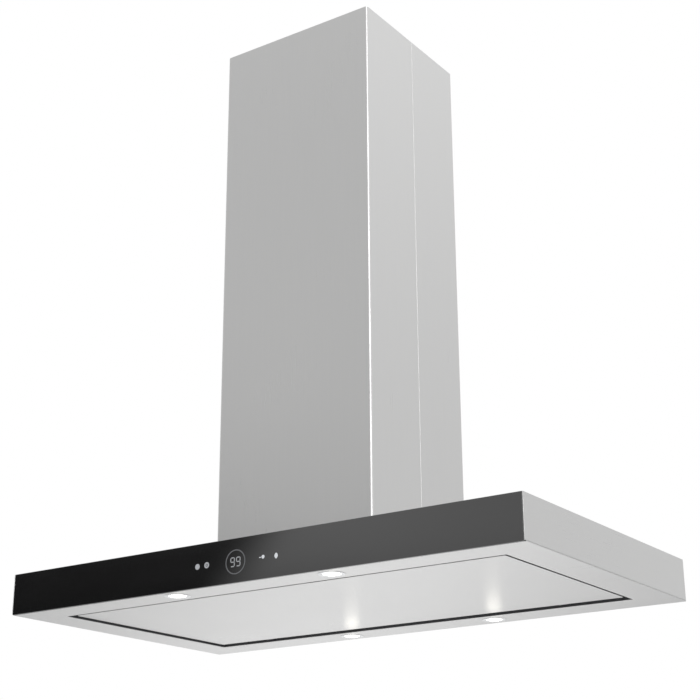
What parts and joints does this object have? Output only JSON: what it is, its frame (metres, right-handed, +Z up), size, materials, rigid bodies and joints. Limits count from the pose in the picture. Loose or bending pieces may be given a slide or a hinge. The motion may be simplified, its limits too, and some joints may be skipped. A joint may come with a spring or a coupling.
{
  "type": "island range hood",
  "caption": "Flat island canopy hood with a black glass front, perimeter-suction panel, lamps, blower and telescopic steel chimney, hung from a ceiling plate.",
  "frame": {"origin": "centre of the ceiling plate's top face, on the ceiling plane", "axes": "+Z up into the ceiling, -Y towards the glass control front, +X to the right seen from the front"},
  "size_m": [1.06, 0.6, 1.116],
  "materials": {
    "brushed_steel": "satin, brushed along the long way of each sheet",
    "galvanised": "zinc coated, dull",
    "black_glass": "gloss, opaque black behind",
    "aluminium": "bare, satin",
    "black_plastic": "moulded, fine texture",
    "grey_plastic": "moulded",
    "white_plastic": "moulded",
    "lamp_lens": "frosted, lit from behind",
    "chrome": "polished steel",
    "motor_steel": "dark enamel"
  },
  "bodies": {
    "ceiling_mount": {"ceiling_plate": "galvanised", "upper_post_front_left": "galvanised", "upper_post_front_right": "galvanised", "upper_post_rear_right": "galvanised", "upper_post_rear_left": "galvanised", "upper_cover_front": "brushed_steel", "upper_cover_rear": "brushed_steel"},
    "hood": {"lower_cover_front": "brushed_steel", "lower_cover_rear": "brushed_steel", "canopy_top": "brushed_steel", "canopy_side_left": "brushed_steel", "canopy_side_right": "brushed_steel", "canopy_rear": "brushed_steel", "bottom_frame": "brushed_steel", "lower_post_front_left": "galvanised", "lower_post_front_right": "galvanised", "lower_post_rear_right": "galvanised", "lower_post_rear_left": "galvanised", "frame_base": "galvanised", "front_carrier": "galvanised", "filter_shelf": "galvanised", "hinge_bracket_left": "galvanised", "hinge_bracket_right": "galvanised", "blower_box": "galvanised", "front_glass": "black_glass", "filter_frame_1": "aluminium", "filter_frame_2": "aluminium", "filter_frame_3": "aluminium", "filter_mesh_1": "aluminium", "filter_mesh_2": "aluminium", "filter_mesh_3": "aluminium", "lamp_housing_front_left": "aluminium", "lamp_housing_front_right": "aluminium", "lamp_housing_rear_left": "aluminium", "lamp_housing_rear_right": "aluminium", "panel_magnet_left": "black_plastic", "panel_magnet_right": "black_plastic", "scroll_left": "black_plastic", "scroll_right": "black_plastic", "outlet_collar": "black_plastic", "display_module": "black_plastic", "terminal_box": "black_plastic", "cable_gland": "grey_plastic", "led_driver": "white_plastic", "lamp_lens_front_left": "lamp_lens", "lamp_lens_front_right": "lamp_lens", "lamp_lens_rear_left": "lamp_lens", "lamp_lens_rear_right": "lamp_lens", "hinge_pin_left": "chrome", "hinge_pin_right": "chrome", "damper_pin": "chrome", "motor_body": "motor_steel"},
    "panel": {"perimeter_panel": "brushed_steel"},
    "impeller": {"impeller": "grey_plastic", "motor_shaft": "chrome"},
    "flap_front": {"damper_flap_front": "black_plastic"},
    "flap_rear": {"damper_flap_rear": "black_plastic"},
    "latch_1": {"filter_latch_1": "black_plastic"},
    "latch_2": {"filter_latch_2": "black_plastic"},
    "latch_3": {"filter_latch_3": "black_plastic"}
  },
  "joints": [
    {"name": "height_slide", "type": "slide", "parent": "ceiling_mount", "child": "hood", "axis": [0, 0, 1], "range_m": [-0.25, 0]},
    {"name": "panel_hinge", "type": "hinge", "parent": "hood", "child": "panel", "pos_m": [0, 0.219, -1.107], "axis": [1, 0, 0], "range_deg": [0, 85]},
    {"name": "impeller_spin", "type": "hinge", "parent": "hood", "child": "impeller", "pos_m": [0, -0.036, -0.937], "axis": [1, 0, 0], "continuous": true},
    {"name": "flap_front_swing", "type": "hinge", "parent": "hood", "child": "flap_front", "pos_m": [0, 0, -0.7894], "axis": [-1, 0, 0], "range_deg": [0, 72]},
    {"name": "flap_rear_swing", "type": "hinge", "parent": "hood", "child": "flap_rear", "pos_m": [0, 0, -0.7894], "axis": [1, 0, 0], "range_deg": [0, 72]},
    {"name": "latch_slide_1", "type": "slide", "parent": "hood", "child": "latch_1", "axis": [0, 1, 0], "range_m": [0, 0.0045], "stiffness_N_per_m": 300, "springref_m": -0.01},
    {"name": "latch_slide_2", "type": "slide", "parent": "hood", "child": "latch_2", "axis": [0, 1, 0], "range_m": [0, 0.0045], "stiffness_N_per_m": 300, "springref_m": -0.01},
    {"name": "latch_slide_3", "type": "slide", "parent": "hood", "child": "latch_3", "axis": [0, 1, 0], "range_m": [0, 0.0045], "stiffness_N_per_m": 300, "springref_m": -0.01}
  ],
  "couplings": [
    {"joint": "flap_rear_swing", "follows": "flap_front_swing", "ratio": 1}
  ]
}
